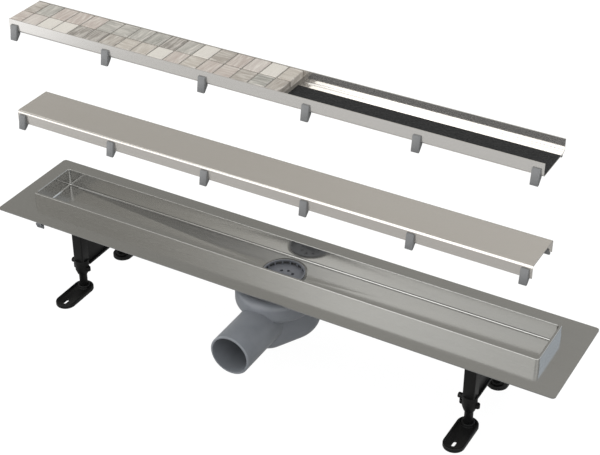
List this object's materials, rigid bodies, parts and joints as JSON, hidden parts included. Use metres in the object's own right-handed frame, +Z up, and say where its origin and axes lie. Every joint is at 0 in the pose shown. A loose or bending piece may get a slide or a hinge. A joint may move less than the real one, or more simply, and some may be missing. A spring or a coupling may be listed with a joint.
{
  "type": "linear shower drain",
  "caption": "Linear shower drain: flanged steel channel, side-outlet trap, levelling feet, and a reversible cover shown plain side up and as a tile tray.",
  "frame": {"origin": "centre of the mouth that the rim makes for the cover, in the plane of the rim's top edge", "axes": "+X along the channel, +Z up, the outlet pipe leaves towards -Y"},
  "size_m": [0.722, 0.2025, 0.3455],
  "materials": {
    "channel_steel": "brushed along the channel",
    "cover_steel": "fine brushed",
    "gasket_rubber": "matt",
    "trap_plastic": "moulded satin",
    "insert_plastic": "moulded satin",
    "strainer_plastic": "moulded satin",
    "clip_plastic": "moulded matt",
    "lining": "rough, granular",
    "mosaic_stone": "honed stone mosaic",
    "grout": "matt cement",
    "leg_plastic": "moulded satin black",
    "zinc_steel": "zinc plated"
  },
  "bodies": {
    "drain": {"bonding_bolt": "zinc_steel", "bonding_lug": "zinc_steel", "channel_body": "channel_steel", "channel_gasket": "gasket_rubber", "clamp_collar_back_left": "leg_plastic", "clamp_collar_back_right": "leg_plastic", "clamp_collar_front_left": "leg_plastic", "clamp_collar_front_right": "leg_plastic", "clamp_screw_back_left": "leg_plastic", "clamp_screw_back_right": "leg_plastic", "clamp_screw_front_left": "leg_plastic", "clamp_screw_front_right": "leg_plastic", "cover_clip_back_1": "clip_plastic", "cover_clip_back_2": "clip_plastic", "cover_clip_back_3": "clip_plastic", "cover_clip_back_4": "clip_plastic", "cover_clip_back_5": "clip_plastic", "cover_clip_back_6": "clip_plastic", "cover_clip_front_1": "clip_plastic", "cover_clip_front_2": "clip_plastic", "cover_clip_front_3": "clip_plastic", "cover_clip_front_4": "clip_plastic", "cover_clip_front_5": "clip_plastic", "cover_clip_front_6": "clip_plastic", "dip_tube": "insert_plastic", "inlet_ring": "channel_steel", "mosaic_tiles": "mosaic_stone", "plain_cover": "cover_steel", "seal_cup": "insert_plastic", "strainer_basket": "strainer_plastic", "support_bracket_left": "leg_plastic", "support_bracket_right": "leg_plastic", "tile_grout": "grout", "tile_tray": "cover_steel", "trap_body": "trap_plastic", "tray_clip_back_1": "clip_plastic", "tray_clip_back_2": "clip_plastic", "tray_clip_back_3": "clip_plastic", "tray_clip_back_4": "clip_plastic", "tray_clip_back_5": "clip_plastic", "tray_clip_back_6": "clip_plastic", "tray_clip_front_1": "clip_plastic", "tray_clip_front_2": "clip_plastic", "tray_clip_front_3": "clip_plastic", "tray_clip_front_4": "clip_plastic", "tray_clip_front_5": "clip_plastic", "tray_clip_front_6": "clip_plastic", "tray_lining": "lining"},
    "foot_front_left": {"foot_stem_front_left": "leg_plastic", "foot_plate_front_left": "leg_plastic"},
    "foot_front_right": {"foot_stem_front_right": "leg_plastic", "foot_plate_front_right": "leg_plastic"},
    "foot_back_left": {"foot_stem_back_left": "leg_plastic", "foot_plate_back_left": "leg_plastic"},
    "foot_back_right": {"foot_stem_back_right": "leg_plastic", "foot_plate_back_right": "leg_plastic"}
  },
  "joints": [
    {"name": "foot_slide_front_left", "type": "slide", "parent": "drain", "child": "foot_front_left", "axis": [0, 0, 1], "range_m": [-0.025, 0.006]},
    {"name": "foot_slide_front_right", "type": "slide", "parent": "drain", "child": "foot_front_right", "axis": [0, 0, 1], "range_m": [-0.025, 0.006]},
    {"name": "foot_slide_back_left", "type": "slide", "parent": "drain", "child": "foot_back_left", "axis": [0, 0, 1], "range_m": [-0.025, 0.006]},
    {"name": "foot_slide_back_right", "type": "slide", "parent": "drain", "child": "foot_back_right", "axis": [0, 0, 1], "range_m": [-0.025, 0.006]}
  ]
}
